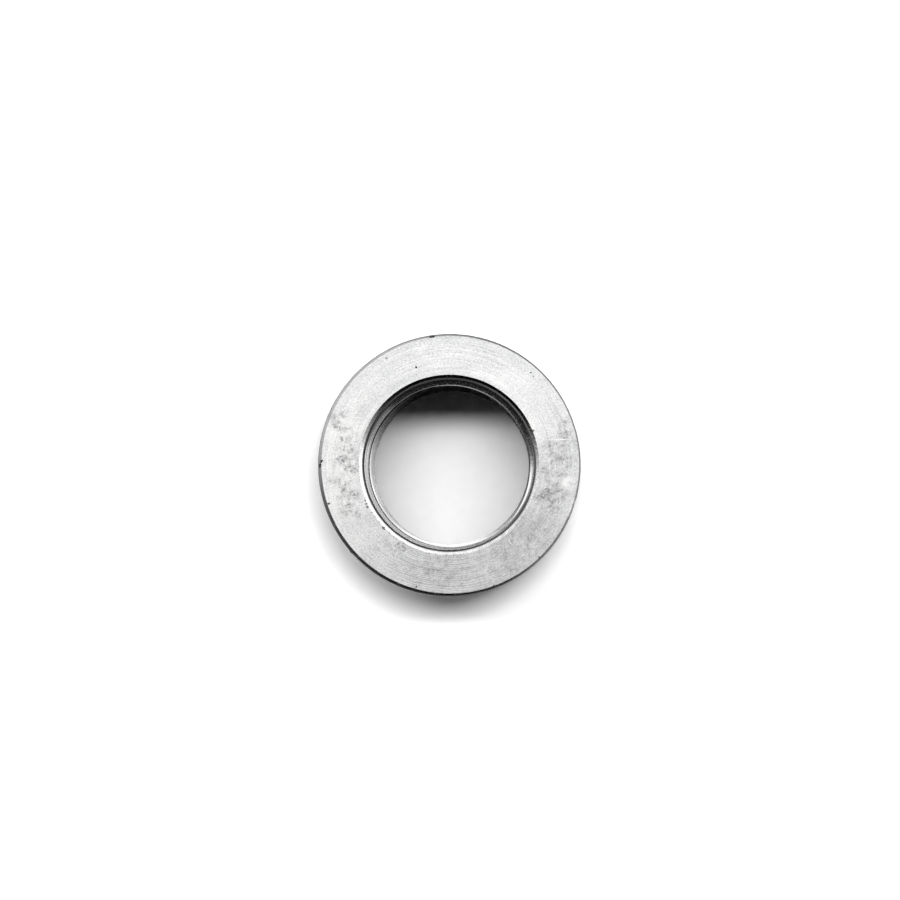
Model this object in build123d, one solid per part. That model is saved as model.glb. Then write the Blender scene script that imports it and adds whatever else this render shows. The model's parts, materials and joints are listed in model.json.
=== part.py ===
"""Round weld nut with an M18 x 1 fine thread, turned from steel bar in one piece.

A plain thick ring, faced at both ends, with its rims broken. The bore is drilled to the tapping size.
At the upper face it opens in three steps, which lead the screw in: a shallow countersink, a short
steep recess that clears the thread, and a lead-in cone. At the lower face there is one plain cone.
+Z runs up the bore, and the origin is the centre of the lower face.
"""

import math
import os

from build123d import *

# Thread
thread_diameter = 18.0
thread_pitch = 1.0

# Ring
outer_diameter = 28.0
height = 10.0
rim_break_width = 0.3
rim_break_depth = 0.25

# Mouths of the bore: a clearance is how much wider than the thread a diameter is
mouth_clearance = 1.2
countersink_depth = 0.25
countersink_angle = 100.0
recess_clearance = 0.24
recess_depth = 0.8
lead_in_angle = 90.0

rim_radius = outer_diameter / 2
tapping_radius = (thread_diameter - thread_pitch) / 2
mouth_radius = (thread_diameter + mouth_clearance) / 2
recess_radius = (thread_diameter + recess_clearance) / 2


def half_tangent(included_angle):
    """How much a cone of this included angle gains in radius for each millimetre of depth."""
    return math.tan(math.radians(included_angle / 2))


def bore_points():
    """The bore's outline in (radius, height), from the lower mouth to the upper one."""
    lower_lead_in = (mouth_radius - tapping_radius) / half_tangent(lead_in_angle)
    upper_lead_in = (recess_radius - tapping_radius) / half_tangent(lead_in_angle)
    step_radius = mouth_radius - countersink_depth * half_tangent(countersink_angle)
    return [
        (mouth_radius, 0),
        (tapping_radius, lower_lead_in),
        (tapping_radius, height - recess_depth - upper_lead_in),
        (recess_radius, height - recess_depth),
        (step_radius, height - countersink_depth),
        (mouth_radius, height),
    ]


def rim_points():
    """The outside's outline in (radius, height), from the upper edge break to the lower one."""
    return [
        (rim_radius - rim_break_width, height),
        (rim_radius, height - rim_break_depth),
        (rim_radius, rim_break_depth),
        (rim_radius - rim_break_width, 0),
    ]


def weld_nut():
    """The whole nut: its half section, turned once about the bore."""
    section = make_face(Polyline(*bore_points(), *rim_points(), close=True))
    return revolve(Plane.XZ * section, Axis.Z)


os.makedirs("parts", exist_ok=True)
export_step(weld_nut(), "parts/weld_nut.step")
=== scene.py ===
"""A round weld nut of turned steel, lying on a pale studio floor, seen almost straight from above.

Sizes are in millimetres and become metres where they meet Blender. +Z runs up the bore.
"""

import json
import math
import random

import bmesh
import bpy
from mathutils import Matrix, Vector


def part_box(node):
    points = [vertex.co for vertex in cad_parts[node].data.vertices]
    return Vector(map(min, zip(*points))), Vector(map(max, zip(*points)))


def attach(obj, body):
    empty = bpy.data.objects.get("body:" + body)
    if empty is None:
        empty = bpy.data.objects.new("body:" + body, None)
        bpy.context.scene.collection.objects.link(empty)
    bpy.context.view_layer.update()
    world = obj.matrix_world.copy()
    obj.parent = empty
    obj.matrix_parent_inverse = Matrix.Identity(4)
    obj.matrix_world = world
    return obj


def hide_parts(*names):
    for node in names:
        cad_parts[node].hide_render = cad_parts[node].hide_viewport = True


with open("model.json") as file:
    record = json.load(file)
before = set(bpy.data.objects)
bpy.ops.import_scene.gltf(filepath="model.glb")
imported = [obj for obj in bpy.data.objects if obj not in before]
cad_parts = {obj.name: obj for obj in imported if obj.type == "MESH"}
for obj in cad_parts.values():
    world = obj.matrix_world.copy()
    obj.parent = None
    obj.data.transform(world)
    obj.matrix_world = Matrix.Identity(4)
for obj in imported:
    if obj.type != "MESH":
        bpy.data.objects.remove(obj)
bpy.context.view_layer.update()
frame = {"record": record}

MM = 0.001
TURN = 2 * math.pi
merge_distance = 0.001


# ---------------------------------------------------------------- sizes

def mount(name):
    """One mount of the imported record, by its name."""
    return next(m for m in frame["record"]["mounts"] if m["name"] == name)


nut_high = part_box("weld_nut")[1]
rim_radius = nut_high[0] / MM
height = nut_high[2] / MM
tapping_radius = mount("thread")["dims"]["r_mm"]

# The thread is M18 x 1: a 60 degree groove with a narrow flat at its bottom. The tap that cuts it stands
# clear of the steel on the inside. At +X the middle of the groove passes at this depth below the upper face
thread_radius = 9.0
thread_pitch = 1.0
groove_half_angle = math.radians(30)
groove_flat = thread_pitch / 8
tap_clearance = 0.2
groove_inner_radius = tapping_radius - tap_clearance
first_groove_depth = 1.0

# Mouths of the bore. The thread's first crest is broken where the lead-in cone meets it
mouth_radius = 9.6
countersink_depth = 0.25
step_radius = 9.302
recess_radius = 9.12
recess_depth = 0.8
lead_in_slope = 1.0
crest_break = 0.13
first_crest = height - recess_depth - (recess_radius - tapping_radius) * lead_in_slope

# Edge break round the rim, in (inward, down): four facets, each steeper than the one before. It was filed by
# hand, so it isn't quite centred at the face: its first two points are shifted by (x, y), and the third by a
# share of that
rim_break = [(0.29, 0.0), (0.26, 0.015), (0.21, 0.05), (0.07, 0.165), (0.0, 0.25)]
third_point = 2
rim_break_shift = (0.1, 0.02)
third_point_share = 0.7

# A narrow strip of each end face, next to each of its edges, keeps the face's shading flat
support_width = 0.05

# How finely the ring is turned, and the angle between facets under which they look round
segments = 720
smooth_angle = math.radians(15)

# Pits, dug by balls: x, y, how far the ball's middle is below the face, and its radius
pits = [
    (-3.5, 10.4, 0.0, 0.13),
    (-6.68, 11.36, -0.05, 0.11),
    (8.72, 9.77, -0.05, 0.11),
    (8.98, 9.4, -0.06, 0.1),
    (-7.02, -6.72, 0.0, 0.12),
    (-6.9, -6.86, 0.02, 0.11),
    (-8.67, -4.52, 0.0, 0.12),
    (-8.82, -4.17, 0.0, 0.1),
    (-8.94, -3.8, 0.0, 0.1),
    (8.96, 3.6, 0.02, 0.14),
    (-2.0, 13.64, 0.05, 0.14),
    (-1.8, 13.68, 0.06, 0.17),
    (-1.62, 13.7, 0.06, 0.14),
    (-13.64, 0.34, 0.05, 0.12),
    (-13.76, 0.0, 0.1, 0.17),
    (-13.74, -0.2, 0.1, 0.15),
    (-13.5, 0.46, 0.0, 0.09),
    (-3.47, -13.0, 0.0, 0.09),
    (-9.85, -9.6, 0.06, 0.14),
    (-9.68, -9.72, 0.05, 0.11),
    (-12.85, -4.15, 0.02, 0.13),
]

# Rows of fine nicks along the edges of the face. Each nick strays along the arc by up to that share of their
# spacing. Its offset from the edge, its depth and the radius of its ball are somewhere in these ranges
mouth_nicks = {
    "count": 18,
    "arc": (math.radians(195), math.radians(280)),
    "straying": 0.8,
    "offset": (-0.03, 0.07),
    "depth": (0.0, 0.04),
    "size": (0.04, 0.09),
}
rim_nicks = {
    "count": 14,
    "arc": (math.radians(195), math.radians(325)),
    "straying": 0.9,
    "offset": (-0.05, 0.1),
    "depth": (0.0, 0.05),
    "size": (0.05, 0.1),
}
ball_stretch = (0.8, 1.5)
damage_seed = 18

# A small burr on the rim, at the front left: where it is, how far it spreads and how far it stands out
burr = (-10.55, -9.35)
burr_spread = 0.25
burr_height = 0.05


# ---------------------------------------------------------------- modelling by hand

def deselect_all():
    if bpy.context.object and bpy.context.object.mode != "OBJECT":
        bpy.ops.object.mode_set(mode="OBJECT")
    bpy.ops.object.select_all(action="DESELECT")


def start_piece(name):
    """A new piece that is one single vertex on the origin, open in edit mode."""
    deselect_all()
    bpy.ops.mesh.primitive_plane_add(size=MM)
    piece = bpy.context.object
    piece.name = name
    piece.data.name = name
    bpy.ops.object.mode_set(mode="EDIT")
    bpy.ops.mesh.merge(type="CENTER")
    return piece


def draw_outline(points):
    """Moves the selected vertex to the first (radius, height) and extrudes it along the rest and back."""
    bpy.ops.transform.translate(value=(points[0][0] * MM, 0, points[0][1] * MM))
    for here, there in zip(points, points[1:] + points[:1]):
        step = ((there[0] - here[0]) * MM, 0, (there[1] - here[1]) * MM)
        bpy.ops.mesh.extrude_region_move(TRANSFORM_OT_translate={"value": step})
    bpy.ops.mesh.select_all(action="SELECT")
    bpy.ops.mesh.remove_doubles(threshold=merge_distance * MM)


def move_picked(piece, wanted, shift):
    """Moves by a shift in mm just the vertices of the piece, open in edit mode, whose place is wanted."""
    bpy.ops.mesh.select_all(action="DESELECT")
    mesh = bmesh.from_edit_mesh(piece.data)
    for vertex in mesh.verts:
        vertex.select = wanted(vertex.co / MM)
    mesh.select_flush(True)
    bmesh.update_edit_mesh(piece.data)
    bpy.ops.transform.translate(value=Vector(shift) * MM)


def clean_up():
    """Merges what lies together and turns every face outwards."""
    bpy.ops.mesh.select_all(action="SELECT")
    bpy.ops.mesh.remove_doubles(threshold=merge_distance * MM)
    bpy.ops.mesh.normals_make_consistent(inside=False)


def cut(piece, tool, tangled=False):
    """Takes the tool out of the piece, and the tool away. A tangled tool is one that crosses itself."""
    deselect_all()
    piece.select_set(True)
    bpy.context.view_layer.objects.active = piece
    groove = piece.modifiers.new("cut", "BOOLEAN")
    groove.operation = "DIFFERENCE"
    groove.solver = "EXACT"
    groove.use_self = tangled
    groove.object = tool
    bpy.ops.object.modifier_apply(modifier=groove.name)
    bpy.data.objects.remove(tool)


# ---------------------------------------------------------------- the nut

def bore_outline():
    """Half section of the bore in (radius, height), from the lower mouth to the upper one."""
    lower_lead_in = (mouth_radius - tapping_radius) * lead_in_slope
    return [
        (mouth_radius + support_width, 0),
        (mouth_radius, 0),
        (tapping_radius, lower_lead_in),
        (tapping_radius, first_crest - crest_break),
        (tapping_radius + crest_break, first_crest + crest_break),
        (recess_radius, height - recess_depth),
        (step_radius, height - countersink_depth),
        (mouth_radius, height),
        (mouth_radius + support_width, height),
    ]


def rim_outline():
    """Half section of the outside, from the upper face down to the lower one."""
    roll = [(rim_break[0][0] + support_width, 0.0)] + rim_break
    upper = [(rim_radius - inward, height - down) for inward, down in roll]
    lower = [(rim_radius - inward, down) for inward, down in reversed(roll)]
    return upper + lower


def turn_ring():
    """The blank with its bore and its edge break: the half section spun once round the axis."""
    ring = start_piece("weld_nut_body")
    draw_outline(bore_outline() + rim_outline())
    bpy.ops.mesh.spin(steps=segments, angle=TURN, center=(0, 0, 0), axis=(0, 0, 1))
    clean_up()
    shift_edge_break(ring)
    raise_burr(ring)
    bpy.ops.object.mode_set(mode="OBJECT")
    return ring


def shift_edge_break(ring):
    """Moves the inner edge of the upper edge break sideways, and the next edge down less far."""
    shift_x, shift_y = rim_break_shift
    third_height = height - rim_break[third_point][1]
    margin = 0.01
    outer = (mouth_radius + rim_radius) / 2
    move_picked(ring, lambda p: p.z > third_height + margin and p.xy.length > outer, (shift_x, shift_y, 0))
    move_picked(ring, lambda p: abs(p.z - third_height) < margin and p.xy.length > outer,
                (shift_x * third_point_share, shift_y * third_point_share, 0))


def raise_burr(ring):
    """Pulls a small burr out of the rim where a facet of the edge break ends."""
    burr_place = Vector((*burr, height - rim_break[-1][1]))
    outward = Vector((*burr, 0)).normalized()
    move_picked(ring, lambda p: (p - burr_place).length < burr_spread, outward * burr_height)


def thread_tap():
    """The tap: a closed helix with the groove's section, longer than the bore."""
    tap = start_piece("tap")
    reach = thread_radius - groove_inner_radius
    half_width = groove_flat / 2 + reach * math.tan(groove_half_angle)
    turns = math.ceil(height / thread_pitch)
    start = height - first_groove_depth - turns * thread_pitch
    draw_outline([
        (thread_radius, start + groove_flat / 2),
        (groove_inner_radius, start + half_width),
        (groove_inner_radius, start - half_width),
        (thread_radius, start - groove_flat / 2),
    ])
    bpy.ops.object.mode_set(mode="OBJECT")
    helix = tap.modifiers.new("helix", "SCREW")
    helix.axis = "Z"
    helix.angle = TURN
    helix.screw_offset = thread_pitch * MM
    helix.iterations = turns + 2
    helix.steps = segments // 2
    helix.render_steps = segments // 2
    helix.use_merge_vertices = False
    bpy.ops.object.modifier_apply(modifier=helix.name)
    bpy.ops.object.mode_set(mode="EDIT")
    bpy.ops.mesh.select_all(action="SELECT")
    bpy.ops.mesh.fill_holes(sides=4)
    clean_up()
    bpy.ops.object.mode_set(mode="OBJECT")
    return tap


def row_of_nicks(rng, edge_radius, count, arc, straying, offset, depth, size):
    """Balls, given as the pits are, for one row of nicks along an arc of an edge."""
    row = []
    for i in range(count):
        angle = arc[0] + (i + rng.uniform(0, straying)) * (arc[1] - arc[0]) / count
        away = edge_radius + rng.uniform(*offset)
        row.append((away * math.cos(angle), away * math.sin(angle), rng.uniform(*depth), rng.uniform(*size)))
    return row


def damage():
    """One tool of many small balls that dig the pits, and the nicks along the edges of mouth and rim."""
    rng = random.Random(damage_seed)
    balls = pits + row_of_nicks(rng, mouth_radius, **mouth_nicks)
    balls += row_of_nicks(rng, rim_radius - rim_break[0][0], **rim_nicks)
    tool = start_piece("damage")
    bpy.ops.mesh.delete(type="VERT")
    for x, y, down, radius in balls:
        bpy.ops.mesh.primitive_ico_sphere_add(subdivisions=2, radius=radius * MM,
                                              location=(x * MM, y * MM, (height - down) * MM),
                                              rotation=(0, 0, rng.uniform(0, TURN)),
                                              scale=(rng.uniform(*ball_stretch), 1, 1))
    bpy.ops.object.mode_set(mode="OBJECT")
    return tool


def make_nut():
    """The ring, then its small damage, and last its thread."""
    nut = turn_ring()
    cut(nut, damage(), tangled=True)
    cut(nut, thread_tap())
    deselect_all()
    nut.select_set(True)
    bpy.context.view_layer.objects.active = nut
    bpy.ops.object.shade_smooth_by_angle(angle=smooth_angle)
    return nut


# ---------------------------------------------------------------- materials

def linear(hex_code):
    """An sRGB hex colour as the linear colour that a socket takes."""
    levels = [int(hex_code[i:i + 2], 16) / 255 for i in (1, 3, 5)]
    return tuple(v / 12.92 if v <= 0.04045 else ((v + 0.055) / 1.055) ** 2.4 for v in levels) + (1.0,)


def new_material(name):
    """A material with its node tree and its shader."""
    material = bpy.data.materials.new(name)
    material.use_nodes = True
    return material, material.node_tree, material.node_tree.nodes["Principled BSDF"]


def add(tree, kind, sockets, out=0, **properties):
    """Adds a node with its properties, gives each socket its value or link, and returns one output."""
    node = tree.nodes.new(kind)
    for name, value in properties.items():
        setattr(node, name, value)
    for socket, value in sockets.items():
        if isinstance(value, bpy.types.NodeSocket):
            tree.links.new(value, node.inputs[socket])
        else:
            node.inputs[socket].default_value = value
    return node.outputs[out]


def spots_mask(tree, flat, spots, softness):
    """1 in each oval spot and 0 outside it. The softness is the share of the spot that fades."""
    total = None
    for x, y, half_width, half_height, lean in spots:
        oval = add(tree, "ShaderNodeMapping", {"Vector": flat, "Location": (x, y, 0),
                                               "Rotation": (0, 0, math.radians(lean)),
                                               "Scale": (half_width, half_height, 1)}, vector_type="TEXTURE")
        away = add(tree, "ShaderNodeVectorMath", {0: oval}, out="Value", operation="LENGTH")
        mask = add(tree, "ShaderNodeMapRange", {"Value": away, "From Min": 1.0, "From Max": 1.0 - softness},
                   interpolation_type="SMOOTHSTEP")
        if total is None:
            total = mask
        else:
            total = add(tree, "ShaderNodeMath", {0: total, 1: mask}, operation="MAXIMUM")
    return total


# Where the upper face is marked, or painted lighter or darker, as ovals: x, y, half width, half height,
# and lean in degrees
stains = [
    (-11.6, 4.4, 1.7, 1.8, -20),
    (-10.9, 0.8, 1.9, 3.4, 0),
    (-11.0, -3.0, 1.4, 2.8, 15),
    (-9.6, -5.3, 1.3, 1.2, 0),
    (-5.8, -8.6, 2.0, 1.0, -25),
    (12.4, 3.6, 1.3, 2.0, 20),
    (11.3, 0.6, 2.2, 2.8, 0),
    (10.8, -3.2, 1.8, 2.6, 0),
]
# Painted sheen: the face is painted lighter in these ovals, where the light falls on it
painted_sheen_patches = [
    (-14.0, -1.0, 11.0, 14.0, 0),
    (3.5, 3.5, 9.0, 11.0, -45),
]
crisp_patches = [
    (0.5, -13.0, 11.0, 6.5, 0),
]
# Grease, with painted shade where the face lies darker at the front and the front right
grease_and_shade_patches = [
    (7.2, -8.3, 9.0, 5.0, 45),
    (-1.0, -11.2, 7.0, 3.0, 0),
]
rubbed_patches = [
    (12.65, -2.0, 0.9, 1.0, 0),
    (13.1, -4.6, 0.45, 1.6, -15),
]
scuffed_patches = [
    (7.0, -9.0, 5.5, 3.5, 40),
    (12.0, -4.5, 1.6, 2.5, 0),
]
scratches = [
    (11.7, 2.65, 1.9, 0.11, 2),
    (3.8, -11.3, 0.55, 0.07, 38),
    (6.5, -8.25, 0.5, 0.06, -62),
]


# Widths of the marks on the steel. The real feed is nearer 0.1 mm, so the feed's lines, the grooves and the
# chatter's ticks are drawn as coarse as they need to be to show
feed_width = 0.13
groove_pitch = 0.22
band_width = 0.5
gust_width = 0.5
ticks_per_turn = 300.0
grain_width = 0.17
cloud_width = 2.5
blot_width = 0.9
fleck_width = 0.24
wander_width = 2.0
relief_depth = 0.008


def chatter(tree, lathe, angle):
    """Short ticks across the tool's way, from -1 to 1, which come and go in gusts."""
    ticks = add(tree, "ShaderNodeMath", {0: angle, 1: ticks_per_turn}, operation="MULTIPLY")
    ticks = add(tree, "ShaderNodeMath", {0: ticks}, operation="SINE")
    gust_place = add(tree, "ShaderNodeMapping", {"Vector": lathe, "Scale": (5, 5, 1 / gust_width)})
    gusts = add(tree, "ShaderNodeTexNoise", {"Vector": gust_place, "Scale": 1.0, "Detail": 2.0})
    gusts = add(tree, "ShaderNodeMapRange", {"Value": gusts, "From Min": 0.4, "From Max": 0.7})
    return add(tree, "ShaderNodeMath", {0: ticks, 1: gusts}, operation="MULTIPLY")


def bore_shade_and_grime(tree, x, y, z, radius, angle):
    """How dark the bore is painted, mostly as shade, with grime on its step: 1 is black, and 0 is clean
    steel.
    """
    # On the steep step it is dark with grime and with painted shade in the recess, higher up towards the
    # back, where the shade is deepest, and thinner to the right
    step_low = add(tree, "ShaderNodeMath", {0: z, 1: height - recess_depth - 0.03}, operation="GREATER_THAN")
    step_dark_top = add(tree, "ShaderNodeMapRange", {"Value": y, "From Min": -2.0, "From Max": 4.0,
                                                "To Min": height - 0.42,
                                                "To Max": height - countersink_depth})
    step_high = add(tree, "ShaderNodeMath", {0: z, 1: step_dark_top}, operation="LESS_THAN")
    step_grime_and_shade = add(tree, "ShaderNodeMath", {0: step_low, 1: step_high}, operation="MULTIPLY")
    thin = add(tree, "ShaderNodeMapRange", {"Value": x, "From Min": 2.0, "From Max": 8.0, "To Min": 1.0,
                                            "To Max": 0.7})
    step_grime_and_shade = add(tree, "ShaderNodeMath", {0: step_grime_and_shade, 1: thin}, operation="MULTIPLY")

    # Deep in the thread it is painted shade, darker further down and most of all at the back
    bore_shade = add(tree, "ShaderNodeMapRange", {"Value": z, "From Min": height - 1.5, "From Max": height - 3.0})
    back_shade = add(tree, "ShaderNodeMapRange", {"Value": y, "From Min": 5.0, "From Max": 8.0,
                                              "To Min": 0.3, "To Max": 0.85})
    bore_shade = add(tree, "ShaderNodeMath", {0: bore_shade, 1: back_shade}, operation="MULTIPLY")

    # At the right it is painted shade along the broken first crest
    collar = add(tree, "ShaderNodeMath", {0: z, 1: first_crest, 2: crest_break}, operation="COMPARE")
    shaded = add(tree, "ShaderNodeMapRange", {"Value": x, "From Min": 3.0, "From Max": 8.0, "To Max": 0.85})
    collar = add(tree, "ShaderNodeMath", {0: collar, 1: shaded}, operation="MULTIPLY")
    bore_shade = add(tree, "ShaderNodeMath", {0: bore_shade, 1: collar}, operation="MAXIMUM")

    # Under the lip where the thread runs out through the lead-in cone it is painted shade, most at the
    # left. The lip's radius grows evenly as the thread climbs
    slope = math.tan(groove_half_angle)
    reach = recess_radius + recess_depth + groove_flat / 2 + thread_radius * slope - first_groove_depth
    turned = add(tree, "ShaderNodeMath", {0: angle, 1: math.radians(100), 2: math.radians(-260)},
                 operation="WRAP")
    lip = add(tree, "ShaderNodeMath", {0: turned, 1: thread_pitch / TURN / (1 + slope),
                                       2: reach / (1 + slope)}, operation="MULTIPLY_ADD")
    past_lip = add(tree, "ShaderNodeMath", {0: radius, 1: lip}, operation="SUBTRACT")
    past_lip = add(tree, "ShaderNodeMath", {0: past_lip, 1: -0.07}, operation="GREATER_THAN")
    under_lip = add(tree, "ShaderNodeMath", {0: radius, 1: z}, operation="SUBTRACT")
    under_lip = add(tree, "ShaderNodeMath", {0: under_lip, 1: recess_radius + recess_depth - height + 0.03},
                    operation="GREATER_THAN")
    first_turn = add(tree, "ShaderNodeMath", {0: z, 1: height - 2.1}, operation="GREATER_THAN")
    lip_shade = add(tree, "ShaderNodeMath", {0: past_lip, 1: under_lip}, operation="MULTIPLY")
    lip_shade = add(tree, "ShaderNodeMath", {0: lip_shade, 1: first_turn}, operation="MULTIPLY")
    leftward = add(tree, "ShaderNodeMapRange", {"Value": x, "From Min": 5.0, "From Max": -6.0,
                                                "To Min": 0.4})
    lip_shade = add(tree, "ShaderNodeMath", {0: lip_shade, 1: leftward}, operation="MULTIPLY")
    bore_shade = add(tree, "ShaderNodeMath", {0: bore_shade, 1: lip_shade}, operation="MAXIMUM")

    # At the back it is painted shade, reaching up over the lead-in cone
    cone_shade = add(tree, "ShaderNodeMapRange", {"Value": z, "From Min": height - 1.3, "From Max": height - 0.85,
                                             "To Max": 0.8})
    rearward = add(tree, "ShaderNodeMapRange", {"Value": y, "From Min": 2.0, "From Max": 6.5})
    cone_shade = add(tree, "ShaderNodeMath", {0: cone_shade, 1: rearward}, operation="MULTIPLY")
    bore_shade = add(tree, "ShaderNodeMath", {0: bore_shade, 1: cone_shade}, operation="MAXIMUM")
    return add(tree, "ShaderNodeMath", {0: step_grime_and_shade, 1: bore_shade}, operation="MAXIMUM")


def rubbed_clean(tree, place, flat, worn):
    """Where the face is rubbed, scratched or scuffed clean: 1 is quite clean."""
    rubbed = spots_mask(tree, flat, rubbed_patches, 0.7)
    scratched = spots_mask(tree, flat, scratches, 0.8)
    scuff_place = add(tree, "ShaderNodeMapping", {"Vector": place, "Rotation": (0, 0, math.radians(42)),
                                                  "Scale": (0.9, 0.12, 1.0)}, vector_type="TEXTURE")
    scuffs = add(tree, "ShaderNodeTexNoise", {"Vector": scuff_place, "Scale": 1.0, "Detail": 1.0})
    scuffs = add(tree, "ShaderNodeMapRange", {"Value": scuffs, "From Min": 0.62, "From Max": 0.72})
    scuffed = spots_mask(tree, flat, scuffed_patches, 0.7)
    scuffs = add(tree, "ShaderNodeMath", {0: scuffs, 1: scuffed}, operation="MULTIPLY")
    cleaned = add(tree, "ShaderNodeMath", {0: rubbed, 1: scratched}, operation="MAXIMUM")
    cleaned = add(tree, "ShaderNodeMath", {0: cleaned, 1: scuffs}, operation="MAXIMUM")
    return add(tree, "ShaderNodeMath", {0: cleaned, 1: worn}, operation="MULTIPLY")


def turned_steel():
    """Bright mild steel, faced and bored on a lathe and left bare.

    The tool leaves fine rings with a soft sheen, and its chatter leaves short ticks across the edge break
    and the mouth of the bore. Handling leaves grease and light stains on it, and rubs it bright in places.
    Painted light lies in its colour too: painted shade in the bore, on the edge break and over the front
    of the face, and a painted sheen on the left and at the back.
    """
    material, tree, shader = new_material("turned mild steel")

    # Places in mm: straight, flat to the face, and round the axis and along the section, as the tool went
    object_place = add(tree, "ShaderNodeTexCoord", {}, out="Object")
    place = add(tree, "ShaderNodeMapping", {"Vector": object_place, "Scale": (1 / MM, 1 / MM, 1 / MM)})
    x = add(tree, "ShaderNodeSeparateXYZ", {0: place}, out="X")
    y = add(tree, "ShaderNodeSeparateXYZ", {0: place}, out="Y")
    z = add(tree, "ShaderNodeSeparateXYZ", {0: place}, out="Z")
    flat = add(tree, "ShaderNodeCombineXYZ", {"X": x, "Y": y})
    radius = add(tree, "ShaderNodeVectorMath", {0: flat}, out="Value", operation="LENGTH")
    around = add(tree, "ShaderNodeVectorMath", {0: flat}, operation="NORMALIZE")
    angle = add(tree, "ShaderNodeMath", {0: y, 1: x}, operation="ARCTAN2")
    along = add(tree, "ShaderNodeMath", {0: radius, 1: z}, operation="ADD")
    lift = add(tree, "ShaderNodeCombineXYZ", {"Z": along})
    lathe = add(tree, "ShaderNodeVectorMath", {0: around, 1: lift}, operation="ADD")

    # Turning marks: the feed's fine lines, wider bands, and grooves that the bands make uneven. They change
    # slowly along the tool's way, and by their width across it
    feed_place = add(tree, "ShaderNodeMapping", {"Vector": lathe, "Scale": (1.5, 1.5, 1 / feed_width)})
    feed = add(tree, "ShaderNodeTexNoise", {"Vector": feed_place, "Scale": 1.0, "Detail": 0.0})
    band_place = add(tree, "ShaderNodeMapping", {"Vector": lathe, "Scale": (2.5, 2.5, 1 / band_width)})
    bands = add(tree, "ShaderNodeTexNoise", {"Vector": band_place, "Scale": 1.0, "Detail": 1.0})
    grooves = add(tree, "ShaderNodeMath", {0: along, 1: TURN / groove_pitch}, operation="MULTIPLY")
    grooves = add(tree, "ShaderNodeMath", {0: bands, 1: 14.0, 2: grooves}, operation="MULTIPLY_ADD")
    grooves = add(tree, "ShaderNodeMath", {0: grooves}, operation="SINE")
    ticks = chatter(tree, lathe, angle)

    # Grain, cloudy handling marks, blots made up of flecks, and worn places between the blots
    grain = add(tree, "ShaderNodeTexNoise", {"Vector": place, "Scale": 1 / grain_width, "Detail": 2.0,
                                             "Roughness": 0.7})
    clouds = add(tree, "ShaderNodeTexNoise", {"Vector": place, "Scale": 1 / cloud_width, "Detail": 3.0})
    blots = add(tree, "ShaderNodeTexNoise", {"Vector": place, "Scale": 1 / blot_width, "Detail": 3.0,
                                             "Roughness": 0.7})
    blotted = add(tree, "ShaderNodeMapRange", {"Value": blots, "From Min": 0.4, "From Max": 0.58})
    flecks = add(tree, "ShaderNodeTexNoise", {"Vector": place, "Scale": 1 / fleck_width, "Detail": 2.0})
    flecks = add(tree, "ShaderNodeMapRange", {"Value": flecks, "From Min": 0.48, "From Max": 0.62,
                                              "To Min": 0.35})
    blotted = add(tree, "ShaderNodeMath", {0: blotted, 1: flecks}, operation="MULTIPLY")
    worn = add(tree, "ShaderNodeMapRange", {"Value": blots, "From Min": 0.3, "From Max": 0.6})

    # Greasy places with their painted shade, and stained places, have uneven outlines, which wander by a
    # millimetre or so
    wander = add(tree, "ShaderNodeTexNoise", {"Vector": place, "Scale": 1 / wander_width, "Detail": 3.0},
                 out="Color")
    wander = add(tree, "ShaderNodeVectorMath", {0: wander, 1: (0.5, 0.5, 0.5)}, operation="SUBTRACT")
    uneven = add(tree, "ShaderNodeVectorMath", {0: wander, 1: (4.0, 4.0, 0.0), 2: flat},
                 operation="MULTIPLY_ADD")

    # Where the face ends: below it are the mouth of the bore, the thread and the edge break
    edge_reach = 0.5
    below = add(tree, "ShaderNodeMath", {0: z, 1: height - 0.004}, operation="LESS_THAN")
    bore = add(tree, "ShaderNodeMath", {0: radius, 1: mouth_radius + 0.01}, operation="LESS_THAN")
    upper = add(tree, "ShaderNodeMath", {0: z, 1: height - edge_reach}, operation="GREATER_THAN")
    edge = add(tree, "ShaderNodeMath", {0: radius, 1: rim_radius - edge_reach}, operation="GREATER_THAN")
    broken = add(tree, "ShaderNodeMath", {0: edge, 1: below}, operation="MULTIPLY")
    broken = add(tree, "ShaderNodeMath", {0: broken, 1: upper}, operation="MULTIPLY")
    mouth = add(tree, "ShaderNodeMath", {0: upper, 1: bore}, operation="MULTIPLY")
    below_mouth = add(tree, "ShaderNodeMath", {0: bore, 1: mouth}, operation="SUBTRACT")
    ticked = add(tree, "ShaderNodeMath", {0: broken, 1: mouth}, operation="MAXIMUM")
    edge_ticks = add(tree, "ShaderNodeMath", {0: ticks, 1: ticked}, operation="MULTIPLY")

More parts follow.
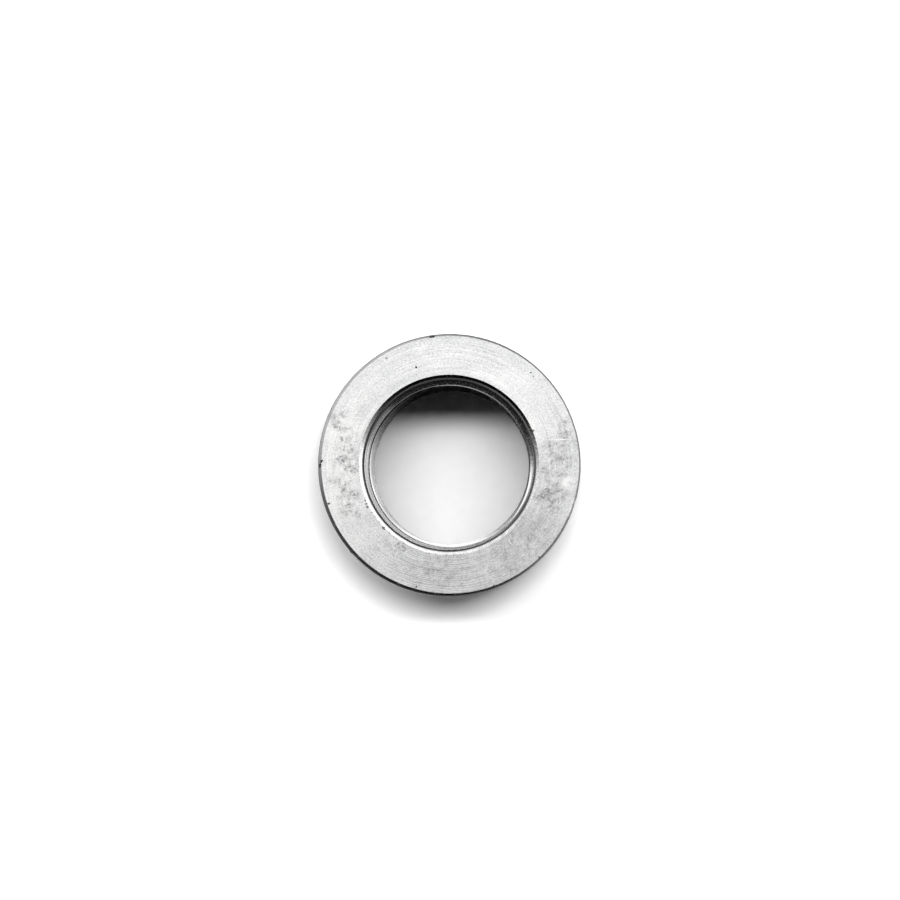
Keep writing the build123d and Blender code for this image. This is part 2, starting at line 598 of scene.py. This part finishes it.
    # How bright the clean metal is, from 0 to 1. The rings are crispest at the front, where it's least
    # rubbed, and the left side and the right of the back are painted lighter, a painted sheen where light
    # falls
    crisp = spots_mask(tree, flat, crisp_patches, 0.8)
    crisp = add(tree, "ShaderNodeMath", {0: crisp, 1: 0.2, 2: 0.06}, operation="MULTIPLY_ADD")
    bright = add(tree, "ShaderNodeMath", {0: feed, 1: 0.4, 2: -0.95}, operation="MULTIPLY_ADD")
    bright = add(tree, "ShaderNodeMath", {0: grooves, 1: crisp, 2: bright}, operation="MULTIPLY_ADD")
    painted_sheen = spots_mask(tree, flat, painted_sheen_patches, 0.9)
    bright = add(tree, "ShaderNodeMath", {0: painted_sheen, 1: 0.28, 2: bright}, operation="MULTIPLY_ADD")
    bright = add(tree, "ShaderNodeMath", {0: mouth, 1: 0.1, 2: bright}, operation="MULTIPLY_ADD")
    bright = add(tree, "ShaderNodeMath", {0: bands, 1: 0.2, 2: bright}, operation="MULTIPLY_ADD")
    bright = add(tree, "ShaderNodeMath", {0: grain, 1: 1.8, 2: bright}, operation="MULTIPLY_ADD")
    bright = add(tree, "ShaderNodeMath", {0: clouds, 1: 0.5, 2: bright}, operation="MULTIPLY_ADD")
    bright = add(tree, "ShaderNodeMath", {0: edge_ticks, 1: 0.35, 2: bright}, operation="MULTIPLY_ADD",
                 use_clamp=True)
    bored = add(tree, "ShaderNodeMath", {0: ticks, 1: 0.15, 2: -0.1}, operation="MULTIPLY_ADD")
    bored = add(tree, "ShaderNodeMath", {0: feed, 1: 1.2, 2: bored}, operation="MULTIPLY_ADD")
    bright = add(tree, "ShaderNodeMix", {"Factor": below_mouth, 2: bright, 3: bored}, data_type="FLOAT")
    metal = add(tree, "ShaderNodeMix", {"Factor": bright, 6: linear("#88898A"), 7: linear("#BCBCBB")},
                out=2, data_type="RGBA")

    # Grease, painted shade and stains darken the face, and grime and painted shade darken the edge break,
    # less so at the right, where the light falls
    grease_and_shade = spots_mask(tree, uneven, grease_and_shade_patches, 0.8)
    grease_and_shade = add(tree, "ShaderNodeMath", {0: grease_and_shade, 1: 0.48}, operation="MULTIPLY")
    patchy = add(tree, "ShaderNodeMath", {0: blotted, 1: 1.2, 2: 0.4}, operation="MULTIPLY_ADD")
    grease_and_shade = add(tree, "ShaderNodeMath", {0: grease_and_shade, 1: patchy}, operation="MULTIPLY")
    stained = spots_mask(tree, uneven, stains, 0.6)
    stained = add(tree, "ShaderNodeMath", {0: stained, 1: blotted}, operation="MULTIPLY")
    stained = add(tree, "ShaderNodeMath", {0: stained, 1: 0.95}, operation="MULTIPLY")
    dirt_and_shade = add(tree, "ShaderNodeMath", {0: grease_and_shade, 1: stained}, operation="ADD")
    # Grime and painted shade on the edge break, lighter at the right, where the light falls
    grime_and_shade = add(tree, "ShaderNodeMapRange", {"Value": x, "From Min": 6.0, "From Max": 12.0,
                                             "To Min": 0.85, "To Max": 0.55})
    dirt_and_shade = add(tree, "ShaderNodeMath", {0: broken, 1: grime_and_shade, 2: dirt_and_shade}, operation="MULTIPLY_ADD",
               use_clamp=True)
    dirty_and_shaded = add(tree, "ShaderNodeMix", {"Factor": dirt_and_shade, 6: metal, 7: linear("#707070")}, out=2,
                data_type="RGBA")

    # Rubbing and scratches clean it again, and over it all lie the painted shade and grime in the bore, and
    # grime in the pits
    cleaned = rubbed_clean(tree, place, flat, worn)
    cleaned = add(tree, "ShaderNodeMix", {"Factor": cleaned, 6: dirty_and_shaded, 7: linear("#C0C0BF")}, out=2,
                  data_type="RGBA")
    # Painted shade in the bore, with grime on its step, and grime packed in the pits
    shade_and_grime = bore_shade_and_grime(tree, x, y, z, radius, angle)
    shade_and_grime = add(tree, "ShaderNodeMath", {0: shade_and_grime, 1: bore}, operation="MULTIPLY")
    pit_spots = [(pit_x, pit_y, size, size, 0) for pit_x, pit_y, down, size in pits]
    packed = spots_mask(tree, flat, pit_spots, 0.9)
    packed = add(tree, "ShaderNodeMath", {0: packed, 1: 0.85}, operation="MULTIPLY")
    shade_and_grime = add(tree, "ShaderNodeMath", {0: shade_and_grime, 1: packed}, operation="MAXIMUM")
    colour = add(tree, "ShaderNodeMix", {"Factor": shade_and_grime, 6: cleaned, 7: linear("#1E1E1E")}, out=2,
                 data_type="RGBA")

    # The cut surfaces below the face are smoother than the face, and the edge break is duller at the left
    rough = add(tree, "ShaderNodeMath", {0: grain, 1: 0.12, 2: 0.44}, operation="MULTIPLY_ADD")
    rough = add(tree, "ShaderNodeMath", {0: below, 1: -0.24, 2: rough}, operation="MULTIPLY_ADD")
    rough = add(tree, "ShaderNodeMath", {0: stained, 1: 0.1, 2: rough}, operation="MULTIPLY_ADD")
    dulled = add(tree, "ShaderNodeMapRange", {"Value": x, "From Min": -1.0, "From Max": -9.0,
                                              "To Max": 0.13})
    rough = add(tree, "ShaderNodeMath", {0: broken, 1: dulled, 2: rough}, operation="MULTIPLY_ADD")

    # Relief of the marks, which takes up about a quarter of its depth: they stand about 0.002 mm high
    relief = add(tree, "ShaderNodeMath", {0: feed, 1: 0.3, 2: bands}, operation="MULTIPLY_ADD")
    relief = add(tree, "ShaderNodeMath", {0: grain, 1: 0.4, 2: relief}, operation="MULTIPLY_ADD")
    relief = add(tree, "ShaderNodeMath", {0: edge_ticks, 1: 0.6, 2: relief}, operation="MULTIPLY_ADD")
    bump = add(tree, "ShaderNodeBump", {"Height": relief, "Strength": 1.0, "Distance": relief_depth * MM})

    shader.inputs["Metallic"].default_value = 1.0
    tree.links.new(colour, shader.inputs["Base Color"])
    tree.links.new(rough, shader.inputs["Roughness"])
    tree.links.new(bump, shader.inputs["Normal"])
    return material


# A painted glow, seen by the eye only, lifts the nut's shadow and fades in round it, from the first to the
# second of these distances beyond the rim, up to plain white. Seen from the eye, the shadow is an oval a
# little to the left of the bore
fibre_width = 1.5
glow_start = 0.4
glow_end = 2.9
shadow_shift = (1.15, 0.3, 0)
shadow_squeeze = (1.04, 1, 1)


def studio_paper():
    """Smooth white background paper. A glow painted for the eye lifts the nut's shadow, and is quite white
    beyond it.
    """
    material, tree, shader = new_material("white background paper")
    rays = add(tree, "ShaderNodeLightPath", {}, out="Is Camera Ray")
    place = add(tree, "ShaderNodeTexCoord", {}, out="Object")
    place = add(tree, "ShaderNodeMapping", {"Vector": place, "Scale": (1 / MM, 1 / MM, 1 / MM)})
    oval = add(tree, "ShaderNodeMapping", {"Vector": place, "Location": shadow_shift,
                                           "Scale": shadow_squeeze})
    away = add(tree, "ShaderNodeVectorMath", {0: oval}, out="Value", operation="LENGTH")
    # Painted glow: it lifts the shadow next to the rim, and makes the paper white beyond it
    painted_glow = add(tree, "ShaderNodeMapRange", {"Value": away, "From Min": rim_radius + glow_start,
                                              "From Max": rim_radius + glow_end,
                                              "To Min": 0.12, "To Max": 0.5})
    outside = add(tree, "ShaderNodeMath", {0: away, 1: rim_radius - 2}, operation="GREATER_THAN")
    glow = add(tree, "ShaderNodeMath", {0: painted_glow, 1: rays}, operation="MULTIPLY")
    glow = add(tree, "ShaderNodeMath", {0: glow, 1: outside}, operation="MULTIPLY")
    fibres = add(tree, "ShaderNodeTexNoise", {"Vector": place, "Scale": 1 / fibre_width, "Detail": 4.0})
    shade = add(tree, "ShaderNodeMapRange", {"Value": fibres, "From Min": 0.3, "From Max": 0.7,
                                             "To Min": 0.96, "To Max": 1.0})
    seen = add(tree, "ShaderNodeMix", {"Factor": rays, 6: linear("#F2F2F2"), 7: linear("#FFFFFF")}, out=2,
               data_type="RGBA")
    colour = add(tree, "ShaderNodeMix", {"Factor": 1.0, 6: seen, 7: shade}, out=2, data_type="RGBA",
                 blend_type="MULTIPLY")
    tree.links.new(colour, shader.inputs["Base Color"])
    tree.links.new(glow, shader.inputs["Emission Strength"])
    shader.inputs["Emission Color"].default_value = linear("#FFFFFF")
    shader.inputs["Roughness"].default_value = 1.0
    shader.inputs["Specular IOR Level"].default_value = 0.0
    return material


def black_card():
    """Matt black card, which only soaks up light."""
    material, tree, shader = new_material("black card")
    shader.inputs["Base Color"].default_value = linear("#050505")
    shader.inputs["Roughness"].default_value = 1.0
    shader.inputs["Specular IOR Level"].default_value = 0.0
    return material


# ---------------------------------------------------------------- studio

floor_width = 4000


def floor():
    """The paper that the nut lies on."""
    deselect_all()
    bpy.ops.mesh.primitive_plane_add(size=floor_width * MM)
    sheet = bpy.context.object
    sheet.name = "floor"
    sheet.data.materials.append(studio_paper())


def aim(thing, place, target):
    """Puts a lamp or camera at a place in mm, looking at a target in mm, with +Y up in its view."""
    back = (Vector(place) - Vector(target)).normalized()
    right = Vector((0, 1, 0)).cross(back).normalized()
    turn = Matrix((right, back.cross(right), back)).transposed()
    thing.matrix_world = Matrix.Translation(Vector(place) * MM) @ turn.to_4x4()


def area_lamp(name, place, target, size, radiance):
    """A soft rectangular lamp, whose face looks as bright as its radiance: 1 is white."""
    bpy.ops.object.light_add(type="AREA")
    lamp = bpy.context.object
    lamp.name = name
    lamp.data.shape = "RECTANGLE"
    lamp.data.size = size[0] * MM
    lamp.data.size_y = size[1] * MM
    lamp.data.energy = math.pi * size[0] * size[1] * MM * MM * radiance
    aim(lamp, place, target)
    return lamp


def dark_card(place, target, size):
    """A black card, out of the eye's sight, that gives the steel something dark to mirror."""
    deselect_all()
    bpy.ops.mesh.primitive_plane_add(size=1.0)
    card = bpy.context.object
    card.name = "black_card"
    bpy.ops.transform.resize(value=(size[0] * MM, size[1] * MM, 1))
    bpy.ops.object.transform_apply(location=False, rotation=False, scale=True)
    aim(card, place, target)
    card.data.materials.append(black_card())
    card.visible_camera = False


def white_room():
    """A white surround for the eye and for mirrors, and a faint fill for everything else."""
    world = bpy.data.worlds.new("white room")
    bpy.context.scene.world = world
    world.use_nodes = True
    tree = world.node_tree
    paint = tree.nodes["Background"]
    paint.inputs["Color"].default_value = linear("#FFFFFF")
    seen = add(tree, "ShaderNodeLightPath", {}, out="Is Camera Ray")
    glossy = add(tree, "ShaderNodeLightPath", {}, out="Is Glossy Ray")
    clear = add(tree, "ShaderNodeLightPath", {}, out="Is Transmission Ray")
    scattered = add(tree, "ShaderNodeLightPath", {}, out="Diffuse Depth")

    # Once a ray has bounced off something matt it doesn't see the white, so the white adds no light
    white = add(tree, "ShaderNodeMath", {0: glossy, 1: clear}, operation="MAXIMUM")
    white = add(tree, "ShaderNodeMath", {0: white, 1: scattered}, operation="SUBTRACT", use_clamp=True)
    white = add(tree, "ShaderNodeMath", {0: seen, 1: white}, operation="MAXIMUM")
    strength = add(tree, "ShaderNodeMapRange", {"Value": white, "To Min": 0.02, "To Max": 1.0})
    tree.links.new(strength, paint.inputs["Strength"])


def camera():
    """Looks down from about 240 mm up, a little to the right and in front of the bore."""
    bpy.ops.object.camera_add()
    eye = bpy.context.object
    eye.data.sensor_width = 36.0
    eye.data.lens = 86.6
    aim(eye, place=(9.1, -10.1, height + 230), target=(0.11, 1.56, height))
    bpy.context.scene.camera = eye


nut = make_nut()
nut.data.materials.clear()
nut.data.materials.append(turned_steel())
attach(nut, "root")
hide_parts("weld_nut")

floor()
camera()
area_lamp("overhead softbox", place=(60, 565, 1500), target=(0, 0, 0), size=(2850, 395), radiance=10.25)
for name, place, target, size in [
    ("right softbox", (1250, 500, 515), (0, 500, 505), (770, 1500)),
    ("rear softbox", (0, 1250, 580), (0, 0, 570), (2500, 960)),
    ("left softbox", (-1250, 650, 650), (0, 650, 640), (820, 1200)),
]:
    low_softbox = area_lamp(name, place, target, size, radiance=2.1)
    low_softbox.visible_diffuse = False
dark_card(place=(-1500, -763, 938), target=(-1500, 0, 135), size=(6000, 2725))
white_room()
bpy.context.scene.view_settings.view_transform = "Standard"
